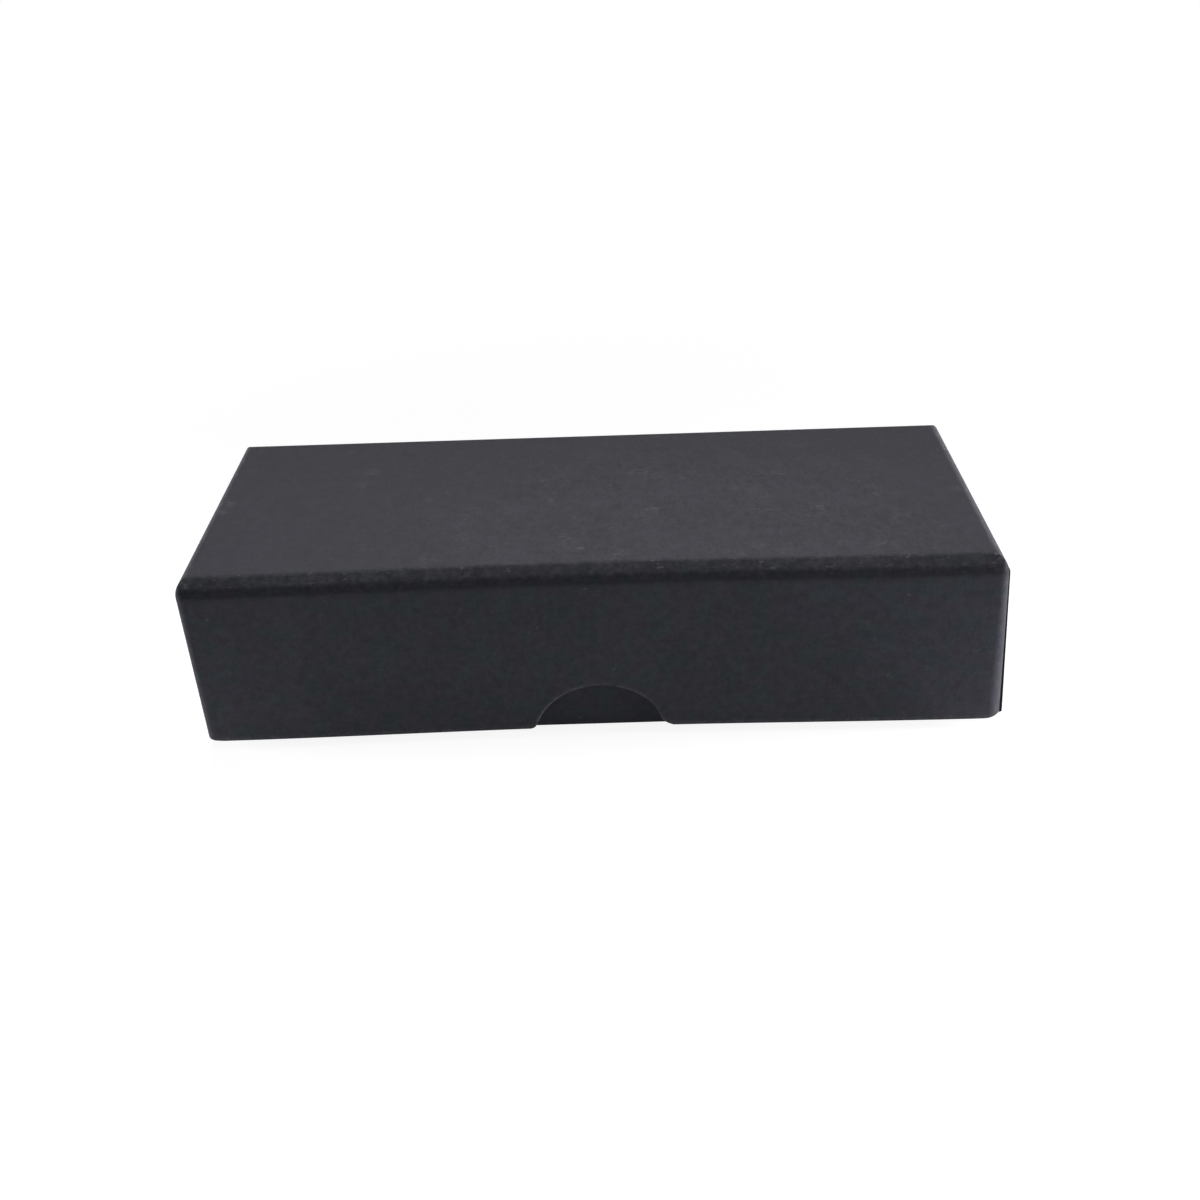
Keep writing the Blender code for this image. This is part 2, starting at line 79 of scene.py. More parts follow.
class Graph:
    """A material's node tree, built with one call per node. An input is a number, a tuple or a socket."""

    def __init__(self, name):
        self.material = bpy.data.materials.new(name)
        self.material.use_nodes = True
        self.tree = self.material.node_tree
        self.tree.nodes.clear()

    def node(self, kind, inputs=None, **settings):
        made = self.tree.nodes.new("ShaderNode" + kind)
        for name, value in settings.items():
            setattr(made, name, value)
        for name, value in (inputs or {}).items():
            if isinstance(value, bpy.types.NodeSocket):
                self.tree.links.new(value, made.inputs[name])
            else:
                made.inputs[name].default_value = value
        return made

    def math(self, operation, first, second=0.0, third=0.0):
        inputs = {0: first, 1: second, 2: third}
        return self.node("Math", inputs, operation=operation).outputs[0]

    def product(self, first, *others):
        for other in others:
            first = self.math("MULTIPLY", first, other)
        return first

    def total(self, first, *others):
        for other in others:
            first = self.math("ADD", first, other)
        return first

    def smooth_step(self, value, low, high, to_low=0.0, to_high=1.0):
        inputs = {"Value": value, "From Min": low, "From Max": high, "To Min": to_low, "To Max": to_high}
        return self.node("MapRange", inputs, interpolation_type="SMOOTHSTEP").outputs[0]

    def noise(self, vector, scale, detail=2.0, roughness=0.5, distortion=0.0):
        inputs = {
            "Vector": vector,
            "Scale": scale,
            "Detail": detail,
            "Roughness": roughness,
            "Distortion": distortion,
        }
        return self.node("TexNoise", inputs).outputs[0]

    def stretched_noise(self, vector, scales, detail=2.0, roughness=0.5, distortion=0.0):
        """Noise whose marks have another length in each direction."""
        return self.noise(self.stretched(vector, scales), 1.0, detail, roughness, distortion)

    def mix(self, factor, first, second, blend_type="MIX"):
        made = self.node("Mix", {0: factor}, data_type="RGBA", blend_type=blend_type)
        for socket, value in ((made.inputs[6], first), (made.inputs[7], second)):
            if isinstance(value, bpy.types.NodeSocket):
                self.tree.links.new(value, socket)
            else:
                socket.default_value = (*value, 1.0)
        return made.outputs[2]

    def shaded(self, colour, factor):
        """The colour times a grey factor."""
        grey = self.node("CombineColor", {0: factor, 1: factor, 2: factor}).outputs[0]
        return self.mix(1.0, colour, grey, "MULTIPLY")

    def stretched(self, vector, scales):
        return self.node("VectorMath", {0: vector, 1: scales}, operation="MULTIPLY").outputs[0]

    def distance(self, vector, centre):
        return self.node("VectorMath", {0: vector, 1: centre}, operation="DISTANCE").outputs["Value"]

    def attribute(self, name):
        return self.node("Attribute", attribute_name=name).outputs["Fac"]

    def place(self):
        return self.node("TexCoord").outputs["Object"]

    def finish(self, shader):
        self.node("OutputMaterial", {"Surface": shader.outputs[0]})
        return self.material


# Materials

PAPER_COLOUR = (0.0520, 0.0508, 0.0612)
PAPER_WARM = (1.01, 0.985, 1.02)  # the two hues that its fibres drift between, as factors
PAPER_COOL = (0.90, 1.04, 1.00)
PAPER_LIGHT = (0.11, 0.108, 0.118)  # rubbed or scuffed fibres and dust, which also make the painted pool of light on the top
CUT_AND_SHADOW_COLOUR = (0.012, 0.012, 0.014)  # edge of the paper where it is cut, darkened further as a painted shadow line under it
LINT_COLOUR = (0.16, 0.16, 0.17)
BOARD_COLOUR = (0.30, 0.27, 0.23)
KRAFT_COLOUR = (0.42, 0.28, 0.15)
LINING_COLOUR = (0.030, 0.030, 0.033)
FOAM_RIB_COLOUR = (0.030, 0.030, 0.033)
FOAM_PIT_SHADE_COLOUR = (0.008, 0.008, 0.009)

# Noise scales of the paper per metre, where three are given along X, Y and Z
FIBRES_LENGTHWISE = (900.0, 2200.0, 2600.0)
FIBRES_CROSSWISE = (2600.0, 500.0, 900.0)
FUZZ_SCALES = (2000.0, 1300.0, 2000.0)
CLUMP_SCALES = (900.0, 520.0, 900.0)
LINT_SCALES = (600.0, 1100.0, 1100.0)
SPECK_SCALES = (800.0, 1500.0, 1500.0)
CLOUD_SCALE = 110.0
HUE_SCALE = 320.0
DUST_SCALE = 260.0
DUST_GRAIN_SCALE = 1500.0
RUB_SCALE = 1300.0
PATCH_SCALE = 500.0

# Shares of the four noises in the paper's tone, and in its relief
FIBRE_TONE, FUZZ_TONE, CLUMP_TONE, CLOUD_TONE = 0.32, 0.22, 0.28, 0.18
FIBRE_HEIGHT, FUZZ_HEIGHT, CLUMP_HEIGHT = 0.45, 0.6, 0.5
TONE_RANGE = (0.36, 0.64)
PLAIN_SHADE = (0.84, 1.16)  # darkest and lightest factor on plain paper
PAINTED_LIGHT_SHADE = (0.70, 1.36)  # the same where the top is painted lighter
PAPER_RELIEF = 0.035 * MM
PAPER_ROUGHNESS = (0.46, 0.60)

# Ranges over which a mask rises from 0 to 1, of a noise or of a part of the normal
ON_END = (0.6, 0.8)
ON_EDGE = (0.99, 0.85)
ON_UPPER_FACE = (0.90, 0.99)
ON_CREST_BELOW = (0.70, 0.88)
ON_CREST_ABOVE = (0.998, 0.98)
HUE_RANGE = (0.47, 0.57)
DUST_RANGE = (0.52, 0.74)
DUST_GRAIN_RANGE = (0.40, 0.66)
EDGE_RUB_RANGE = (0.40, 0.72)
RIM_RUB_RANGE = (0.30, 0.66)
PATCH_RANGE = (0.36, 0.66)
SCUFF_RANGE = (0.35, 0.62)
LINT_RANGE = (0.73, 0.86)
SPECK_RANGE = (0.63, 0.70)

# How much of each is mixed in at most
UPPER_HUE_DRIFT = 0.35
DUST_AND_PAINTED_LIGHT = 1.0
EDGE_WEAR = 0.45
RIM_WEAR = 0.66
LEAST_PATCH = 0.35
# darkest factor of the painted shade where a fold bends into the wall
PAINTED_CREASE_SHADE = 0.55
LINT_AMOUNT = 0.40
SPECK_AMOUNT = 0.8

PAINTED_LIGHT_PLACE = (12 * MM, -18 * MM, 24 * MM)  # the lid's top is painted lighter most around here, as a painted pool of light
PAINTED_LIGHT_FADE = (52 * MM, 8 * MM)
PAINTED_LIGHT_FAR = 0.15
SCUFFS = (  # on the lid's top: x, y, reach in mm and strength
    (-49.0, 0.6, 1.6, 0.70), (-49.2, -1.8, 1.3, 0.60), (-30.8, 9.7, 1.6, 0.50), (-31.4, 5.7, 1.6, 0.40),
    (-34.7, 17.0, 1.2, 0.35), (-22.0, -0.1, 1.0, 0.40), (18.8, 0.6, 1.0, 0.40), (21.1, 0.1, 1.0, 0.35),
    (36.9, -0.4, 1.1, 0.40), (47.9, -1.9, 1.3, 0.50), (50.0, -4.5, 1.2, 0.50),
)
SCUFF_CORE = 0.2  # share of its reach over which a scuff keeps its strength


def unfolded_place(graph):
    """Object coordinates in which the grain of the sheet runs along X on the panel and the long walls, and
    turns down with the paper on the end walls."""
    place = graph.place()
    split = graph.node("SeparateXYZ", {0: place}).outputs
    normal = graph.node("SeparateXYZ", {0: graph.node("NewGeometry").outputs["Normal"]}).outputs
    on_end = graph.smooth_step(graph.math("ABSOLUTE", normal[0]), *ON_END)
    side = graph.math("SIGN", split[0])
    along = graph.total(split[0], graph.product(on_end, side, split[2], -1.0))
    up = graph.product(split[2], graph.math("SUBTRACT", 1.0, on_end))
    return graph.node("CombineXYZ", {0: along, 1: split[1], 2: up}).outputs[0], normal


def edge_mask(graph, normal):
    """1 where the surface turns round a fold, a corner or a rim, and 0 on flat walls."""
    largest = graph.math("MAXIMUM", graph.math("ABSOLUTE", normal[0]), graph.math("ABSOLUTE", normal[1]))
    largest = graph.math("MAXIMUM", largest, graph.math("ABSOLUTE", normal[2]))
    return graph.smooth_step(largest, *ON_EDGE)


def paper_tone(graph, place, painted_light_on_top):
    """Light and dark of the felted fibres as a factor, over a wider range where the top is painted lighter,
    and the noises for the relief and the scuffs.
    """
    lengthwise = graph.stretched_noise(place, FIBRES_LENGTHWISE, 3.0, 0.6, 0.3)
    crosswise = graph.stretched_noise(place, FIBRES_CROSSWISE, 3.0, 0.6, 0.3)
    fibres = graph.product(graph.total(lengthwise, crosswise), 0.5)
    fuzz = graph.stretched_noise(place, FUZZ_SCALES, 3.0, 0.6, 1.2)
    clumps = graph.stretched_noise(place, CLUMP_SCALES, 3.0, 0.6)
    clouds = graph.noise(place, CLOUD_SCALE, 3.0, 0.55)
    tone = graph.total(
        graph.product(fibres, FIBRE_TONE),
        graph.product(fuzz, FUZZ_TONE),
        graph.product(clumps, CLUMP_TONE),
        graph.product(clouds, CLOUD_TONE),
    )
    darkest = graph.smooth_step(painted_light_on_top, 0.0, 1.0, PLAIN_SHADE[0], PAINTED_LIGHT_SHADE[0])
    lightest = graph.smooth_step(painted_light_on_top, 0.0, 1.0, PLAIN_SHADE[1], PAINTED_LIGHT_SHADE[1])
    shade = graph.smooth_step(tone, *TONE_RANGE, darkest, lightest)
    return tone, shade, fibres, fuzz, clumps


def edge_wear(graph, place, edge, worn):
    """How far the paper is rubbed light: a little on every turn, and more where the mesh marks it as worn."""
    rubbed = graph.noise(place, RUB_SCALE, 4.0, 0.7)
    on_turns = graph.product(edge, graph.smooth_step(rubbed, *EDGE_RUB_RANGE), EDGE_WEAR)
    patchy = graph.smooth_step(graph.noise(place, PATCH_SCALE, 3.0, 0.6), *PATCH_RANGE)
    on_rim = graph.product(
        graph.smooth_step(worn, 0.0, 1.0),
        graph.smooth_step(rubbed, *RIM_RUB_RANGE),
        RIM_WEAR,
        graph.smooth_step(patchy, 0.0, 1.0, LEAST_PATCH, 1.0),
    )
    return graph.math("MAXIMUM", on_turns, on_rim)


def make_cover_paper():
    """Matt paper with a felted surface, rubbed and scuffed by use, with a painted pool of light on the top
    and painted shade where the folds bend into the walls.
    """
    graph = Graph("cover_paper_fibre")
    place, normal = unfolded_place(graph)
    edge = edge_mask(graph, normal)
    upper = graph.smooth_step(normal[2], *ON_UPPER_FACE)
    # Painted light: a pool of light on the top, strongest around its front middle, laid on as dust and a
    # wider range of tone
    painted_light_pool = graph.smooth_step(graph.distance(place, PAINTED_LIGHT_PLACE), *PAINTED_LIGHT_FADE, 0.0, 1.0)
    painted_light_on_top = graph.product(upper, graph.smooth_step(painted_light_pool, 0.0, 1.0, PAINTED_LIGHT_FAR, 1.0))
    tone, shade, fibres, fuzz, clumps = paper_tone(graph, place, painted_light_on_top)
    base = graph.shaded(PAPER_COLOUR, shade)

    # Hue of the fibres, and dust caught in them, laid on thickest in the painted pool of light on the top
    drift = graph.smooth_step(graph.noise(place, HUE_SCALE, 2.0, 0.5), *HUE_RANGE)
    drift = graph.product(drift, graph.smooth_step(upper, 0.0, 1.0, 1.0, UPPER_HUE_DRIFT))
    base = graph.mix(1.0, base, graph.mix(drift, PAPER_WARM, PAPER_COOL), "MULTIPLY")
    dust = graph.product(
        graph.smooth_step(graph.noise(place, DUST_SCALE, 3.0, 0.65), *DUST_RANGE),
        graph.smooth_step(graph.noise(place, DUST_GRAIN_SCALE, 2.0, 0.6), *DUST_GRAIN_RANGE),
    )
    # dust, and painted light where the top is painted lighter
    base = graph.mix(graph.product(dust, painted_light_on_top, DUST_AND_PAINTED_LIGHT), base, PAPER_LIGHT)

    # Scuffs, rubbed turns, and painted shade where the folds bend into the walls
    for x, y, reach, strength in SCUFFS:
        away = graph.distance(place, (x * MM, y * MM, LID_TOP))
        blot = graph.smooth_step(away, reach * MM, SCUFF_CORE * reach * MM)
        blot = graph.product(blot, graph.smooth_step(fuzz, *SCUFF_RANGE))
        base = graph.mix(graph.product(blot, strength), base, PAPER_LIGHT)
    worn = graph.attribute("wear_and_painted_shade")
    base = graph.mix(edge_wear(graph, place, edge, worn), base, PAPER_LIGHT)
    # Painted shade: darker where a fold bends into the wall
    base = graph.shaded(base, graph.smooth_step(worn, -1.0, 0.0, PAINTED_CREASE_SHADE, 1.0))

    # Lint on the faces, specks on the crest of a fold, and cut edges darkened with a painted shadow line
    lint = graph.smooth_step(graph.stretched_noise(place, LINT_SCALES, 1.0, 0.5, 2.0), *LINT_RANGE)
    base = graph.mix(graph.product(lint, LINT_AMOUNT), base, LINT_COLOUR)
    crest = graph.product(
        graph.smooth_step(normal[2], *ON_CREST_BELOW), graph.smooth_step(normal[2], *ON_CREST_ABOVE)
    )
    speck = graph.smooth_step(graph.stretched_noise(place, SPECK_SCALES, 2.0, 0.6), *SPECK_RANGE)
    base = graph.mix(graph.product(crest, speck, SPECK_AMOUNT), base, LINT_COLOUR)
    base = graph.mix(graph.smooth_step(graph.attribute("cut_edge_and_painted_shadow"), 0.2, 0.8), base, CUT_AND_SHADOW_COLOUR)

    height = graph.total(
        graph.product(fibres, FIBRE_HEIGHT),
        graph.product(fuzz, FUZZ_HEIGHT),
        graph.product(clumps, CLUMP_HEIGHT),
    )
    bump = graph.node("Bump", {"Height": height, "Distance": PAPER_RELIEF, "Strength": 0.8})
    shader = graph.node(
        "BsdfPrincipled",
        {
            "Base Color": base,
            "Roughness": graph.smooth_step(tone, 0.3, 0.7, *PAPER_ROUGHNESS),
            "Normal": bump.outputs[0],
            "Specular IOR Level": 0.03,
        },
    )
    return graph.finish(shader)


def make_plain(name, colour, contrast, roughness, grain, height):
    """Uncoated board or paper: fine grain, soft clouds and a little bump."""
    graph = Graph(name)
    place = graph.place()
    fine = graph.noise(place, grain, 4.0, 0.65, 0.6)
    clouds = graph.noise(place, grain / 12, 2.0, 0.5)
    tone = graph.total(graph.product(fine, 0.7), graph.product(clouds, 0.3))
    base = graph.shaded(colour, graph.smooth_step(tone, 0.3, 0.7, 1 - contrast, 1 + contrast))
    bump = graph.node("Bump", {"Height": fine, "Distance": height, "Strength": 0.8})
    rough = graph.smooth_step(tone, 0.3, 0.7, roughness - 0.08, roughness + 0.08)
    shader = graph.node("BsdfPrincipled", {"Base Color": base, "Roughness": rough, "Normal": bump.outputs[0]})
    return graph.finish(shader)


CELL_SCALE = 2600.0  # per metre
CELL_BEND_SCALE = 900.0
CELL_BEND = 0.4 * MM
CELL_DEPTH = 0.22 * MM
FOAM_CLOUD_SCALE = 160.0


def make_foam_cells():
    """Open cells: round pits between soft ribs, with painted shade darkening the hollows."""
    graph = Graph("foam_cells")
    place = graph.place()
    waves = graph.node("TexNoise", {"Vector": place, "Scale": CELL_BEND_SCALE}).outputs["Color"]
    waves = graph.stretched(waves, (CELL_BEND, CELL_BEND, CELL_BEND))
    bent = graph.node("VectorMath", {0: place, 1: waves}, operation="ADD").outputs[0]
    cells = graph.node("TexVoronoi", {"Vector": bent, "Scale": CELL_SCALE}, feature="SMOOTH_F1")
    small_cells = graph.node("TexVoronoi", {"Vector": bent, "Scale": 2 * CELL_SCALE}, feature="F1")
    depth = graph.total(
        graph.product(cells.outputs["Distance"], 0.65), graph.product(small_cells.outputs["Distance"], 0.35)
    )
    clouds = graph.noise(place, FOAM_CLOUD_SCALE, 2.0, 0.5)
    hollow = graph.smooth_step(depth, 0.15, 0.55)
    # Painted shade: the pits are painted darker than the ribs
    base = graph.mix(hollow, FOAM_PIT_SHADE_COLOUR, FOAM_RIB_COLOUR)
    base = graph.shaded(base, graph.smooth_step(clouds, 0.3, 0.7, 0.85, 1.15))
    bump = graph.node("Bump", {"Height": depth, "Distance": CELL_DEPTH, "Strength": 0.9})
    shader = graph.node(
        "BsdfPrincipled",
        {
            "Base Color": base,
            "Roughness": graph.smooth_step(hollow, 0.0, 1.0, 0.95, 0.75),
            "Normal": bump.outputs[0],
            "Specular IOR Level": 0.3,
            "Sheen Weight": 0.15,
            "Sheen Roughness": 0.6,
        },
    )
    return graph.finish(shader)


FINISHES = {
    "cover_paper": make_cover_paper(),
    "greyboard": make_plain("greyboard_pulp", BOARD_COLOUR, 0.22, 0.88, 2500.0, 0.05 * MM),
    "stay_paper": make_plain("gummed_kraft", KRAFT_COLOUR, 0.15, 0.80, 1800.0, 0.02 * MM),
    "lining_paper": make_plain("lining_sheet", LINING_COLOUR, 0.20, 0.80, 3000.0, 0.02 * MM),
    "foam": make_foam_cells(),
}


# CAD nodes that stay


def smoothing_group():
    """Welds a faceted CAD mesh and shades it smooth, but for edges where it turns by more than an angle."""
    group = bpy.data.node_groups.new("weld_and_smooth", "GeometryNodeTree")
    group.interface.new_socket("Geometry", in_out="INPUT", socket_type="NodeSocketGeometry")
    group.interface.new_socket("Geometry", in_out="OUTPUT", socket_type="NodeSocketGeometry")
    nodes, links = group.nodes, group.links
    source = nodes.new("NodeGroupInput")
    weld = nodes.new("GeometryNodeMergeByDistance")
    weld.inputs["Distance"].default_value = WELD
    forget = nodes.new("GeometryNodeRemoveAttribute")
    forget.inputs["Name"].default_value = "custom_normal"
    angle = nodes.new("GeometryNodeInputMeshEdgeAngle")
    flat_enough = nodes.new("FunctionNodeCompare")
    flat_enough.data_type = "FLOAT"
    flat_enough.operation = "LESS_THAN"
    flat_enough.inputs[1].default_value = SMOOTH_ANGLE
    faces = nodes.new("GeometryNodeSetShadeSmooth")
    faces.domain = "FACE"
    edges = nodes.new("GeometryNodeSetShadeSmooth")
    edges.domain = "EDGE"
    result = nodes.new("NodeGroupOutput")
    links.new(source.outputs[0], weld.inputs["Geometry"])
    links.new(weld.outputs[0], forget.inputs["Geometry"])
    links.new(forget.outputs[0], faces.inputs["Geometry"])
    links.new(faces.outputs[0], edges.inputs["Geometry"])
    links.new(angle.outputs[0], flat_enough.inputs[0])
    links.new(flat_enough.outputs[0], edges.inputs["Shade Smooth"])
    links.new(edges.outputs[0], result.inputs[0])
    return group


smoothing = smoothing_group()
for name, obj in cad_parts.items():
    for slot in obj.material_slots:
        slot.material = FINISHES[slot.material.name.split(".")[0]]
    modifier = obj.modifiers.new("weld_and_smooth", "NODES")
    modifier.node_group = smoothing


# Cover paper: measures

# The box as the CAD model has it
LID_LENGTH = 101.6 * MM
LID_WIDTH = 44.45 * MM
LID_HEIGHT = 22.8 * MM
BASE_LENGTH = 95.3 * MM
BASE_WIDTH = 38.15 * MM
BASE_HEIGHT = 21.65 * MM
WALL = 2.15 * MM  # through cover paper, board and turn-in
PAPER = 0.2 * MM
TURN_IN = 12.0 * MM
RIM_ROLL = 0.25 * MM
WALL_BOW = 0.8 * MM  # how far the lid's front wall bends inwards at mid-length
NOTCH_RADIUS = 9.0 * MM
NOTCH_DEPTH = 6.2 * MM
NOTCH_FILLET = 1.0 * MM
NOMINAL_CORNER = 1.5 * MM
LID_LEAN = 1.0 * MM  # how much further towards +X the lid's rim lies than its panel
FACET_SLACK = 0.99995  # keeps the scene's finer facets inside the CAD model's box
FLAP_EDGE = {1: 1.2 * MM, -1: 2.4 * MM}  # from the long wall's face to the end flap's cut edge, by end
TAB_LENGTH = 10.0 * MM
TAB_STEP = 1.2 * MM

# Creased board edge under the paper: a tight bend off the panel, a flat, and a wider bend into the wall
LID_FOLD_DEPTH = 2.3 * MM
LID_FOLD_REACH = 2.4 * MM
LID_END_REACH = 1.7 * MM  # the ends turn down in a plain round bend instead
BASE_FOLD_DEPTH = 0.4 * MM
BASE_FOLD_REACH = 0.4 * MM
BEND_OFF_PANEL = 1.15  # radius of the bend, to the same measure as the flat and the next bend
CREASE_FLAT = 0.90
BEND_INTO_WALL = 1.65
CREASE_TILT = math.radians(55)

# Wear of the crease, and painted shade where it bends into the wall, over the paper's slope as a share of the
# flat's slope
CREASE_RUBBED = 1.0
RUBBED_FROM = (0.8, 1.0)
RUBBED_TO = (1.2, 1.6)
CREASE_PAINTED_SHADE = 0.6
PAINTED_SHADE_FROM = (0.6, 0.95)
PAINTED_SHADE_TO = (0.0, 0.25)
PAINTED_SHADE_AT_WALL = 0.5

CORNER_AT_FOLD = 1.15 * MM
CORNER_AT_RIM = {1: 1.9 * MM, -1: 1.2 * MM}
CORNER_INSIDE = 0.12 * MM
RIM_LIFT = {1: 0.3 * MM, -1: 0.15 * MM}  # how far the rim rises at the corners
NOTCH_SHIFT = -0.15 * MM
NOTCH_FOOT = 0.5 * MM  # how much fuller the right foot of the notch is
FOOT_RISE = (0.0, 0.8 * MM)  # heights above the rim over which that grows, and fades again
FOOT_FADE = (1.0 * MM, 3.6 * MM)
BOW_EDGE = 4 * MM  # how far inside its face the long wall's bend reaches its full depth
CORNER_ZONE = (2.6 * MM, 0.3 * MM)  # from the faces, where the lift of the rim's corners starts and is full
LIFT_HEIGHT = 6 * MM  # how far up the wall that lift reaches
EASE_FROM = 0.6  # share of a long wall's half where its columns start to follow the corner's radius
WORN_BAND = 0.7 * MM  # how far the rubbed edge of the rim reaches up the wall
FLAP_RISE = (0.6, 1.0)  # where on the fold's depth the end flap rises onto the corner tabs
GRID = 0.9 * MM  # spacing of the mesh on flat stretches
ARC_STEPS = 10
ROLL_STEPS = 4
BOWL_STEPS = 44
STEP_WIDTH = 0.02 * MM  # plan width of the flap's cut edge
GLUE_GROOVE = 0.08 * MM  # how deep the tab is pressed in beside that edge
FLAP_ON_CORNER = 0.35  # how far onto a tight corner the flap's columns may reach, as a share of its radius

Wrap = namedtuple("Wrap", "name length width height fold_depth fold_reach end_reach notched")
Column = namedtuple("Column", "kind side_x side_y along turn notch")
Row = namedtuple("Row", "inset end_inset opened down smallest flap worn where")


def lerp(first, second, share):
    return first + (second - first) * share


def smooth(value, low, high):
    share = min(max((value - low) / (high - low), 0.0), 1.0)
    return share * share * (3 - 2 * share)


def spread(low, high, spacing):
    steps = max(1, round(abs(high - low) / spacing))
    return [lerp(low, high, i / steps) for i in range(steps + 1)]


def fold_profile():
    """The section from the edge of the flat panel to the top of the wall: triples of inset and depth, as
    shares of the fold's reach and depth, and the angle by which the paper has still to turn into the wall."""
    upright = math.pi / 2
    steps = [(i + 0.5) / ARC_STEPS for i in range(ARC_STEPS)]
    off_panel = BEND_OFF_PANEL * (upright - CREASE_TILT) / ARC_STEPS
    into_wall = BEND_INTO_WALL * CREASE_TILT / ARC_STEPS
    bends = [(lerp(upright, CREASE_TILT, step), off_panel) for step in steps]
    bends += [(CREASE_TILT, CREASE_FLAT / 3)] * 3
    bends += [(lerp(CREASE_TILT, 0.0, step), into_wall) for step in steps]
    points = [(0.0, 0.0)]
    for turn, length in bends:
        x, z = points[-1]
        points.append((x + length * math.sin(turn), z + length * math.cos(turn)))
    reach, drop = points[-1]
    turns = [upright, *(turn for turn, _ in bends), 0.0]
    between = [(near + far) / 2 for near, far in zip(turns, turns[1:])]
    between[0] = upright
    between[-1] = 0.0
    return [(1 - x / reach, z / drop, turn) for (x, z), turn in zip(points, between)]


def fold_wear_and_shade(turn):
    """Rubbed light on the crease's flat, above 0, and painted shade where it bends into the wall, below 0."""
    share = turn / CREASE_TILT
    rubbed = smooth(share, *RUBBED_FROM) * (1 - smooth(share, *RUBBED_TO))
    painted_shade = lerp(PAINTED_SHADE_AT_WALL, 1.0, smooth(share, *PAINTED_SHADE_TO)) * (1 - smooth(share, *PAINTED_SHADE_FROM))
    return CREASE_RUBBED * rubbed - CREASE_PAINTED_SHADE * painted_shade


def notch_curve(height):
    """Points (x, z) along the rim through the notch, left to right, each with its direction into the wall."""
    centre = height - NOTCH_DEPTH + NOTCH_RADIUS
    reach = NOTCH_RADIUS + NOTCH_FILLET
    fillet_z = height - NOTCH_FILLET
    fillet_x = math.sqrt(reach**2 - (centre - fillet_z) ** 2)
    lean = math.atan2(centre - fillet_z, fillet_x)
    right = []
    for i in range(ARC_STEPS + 1):
        turn = lerp(math.pi - lean, math.pi / 2, i / ARC_STEPS)
        away = (math.cos(turn), math.sin(turn))
        point = (fillet_x + NOTCH_FILLET * away[0], fillet_z + NOTCH_FILLET * away[1])
        right.append((point, (-away[0], -away[1])))
    left = [((-p[0], p[1]), (-n[0], n[1])) for p, n in reversed(right)]
    bowl = []
    for i in range(1, BOWL_STEPS):
        turn = lerp(-math.pi + lean, -lean, i / BOWL_STEPS)
        away = (math.cos(turn), math.sin(turn))
        bowl.append(((NOTCH_RADIUS * away[0], centre + NOTCH_RADIUS * away[1]), away))
    return left + bowl + right


def notch_foot(x, above_rim):
    """How much of the right foot's extra fullness a point of the notch has."""
    if x <= 0:
        return 0.0
    return smooth(above_rim, *FOOT_RISE) * (1 - smooth(above_rim, *FOOT_FADE))


def wall_columns(wrap):
    """Columns of the mesh once round the walls, seen with the rim up, anticlockwise from the front left."""
    reach_x = wrap.length / 2 - PAPER - NOMINAL_CORNER
    reach_y = wrap.width / 2 - NOMINAL_CORNER
    if wrap.notched:
        curve = notch_curve(wrap.height)
        edge = curve[-1][0][0]
        lengths = [0.0]
        for (near, _), (far, _) in zip(curve, curve[1:]):
            lengths.append(lengths[-1] + math.dist(near, far))
        notch = [(lerp(-edge, edge, run / lengths[-1]), point) for run, point in zip(lengths, curve)]
        outer = [(x, None) for x in spread(edge, reach_x, GRID)[1:]]
        along = [(-x, None) for x, _ in reversed(outer)] + notch + outer
    else:
        along = [(x, None) for x in spread(-reach_x, reach_x, GRID)]
    flap = wrap.width / 2 - FLAP_EDGE[1]
    tab = wrap.width / 2 - TAB_LENGTH
    half = [*spread(0, tab - TAB_STEP, GRID)[1:], *spread(tab - TAB_STEP, tab, GRID / 3)[1:]]
    half += spread(tab, flap, GRID)[1:]
    across = [-y for y in reversed(half)] + [0.0] + half
    columns = []
    for side_x, side_y in ((1, -1), (1, 1), (-1, 1), (-1, -1)):
        turns = [Column("corner", side_x, side_y, 0.0, i / ARC_STEPS, None) for i in range(ARC_STEPS)]
        foot = Column("foot", side_x, side_y, 0.0, 0.0, None)
        if side_x * side_y < 0:
            run = along if side_x > 0 else along[::-1]
            columns += [Column("long", 0, side_y, x, 0.0, point) for x, point in run]
            columns += [*reversed(turns), foot]
        else:
            run = across if side_x > 0 else across[::-1]
            columns += [Column("end", side_x, 0, y, 0.0, None) for y in run]
            columns += [foot, *turns]
    return columns


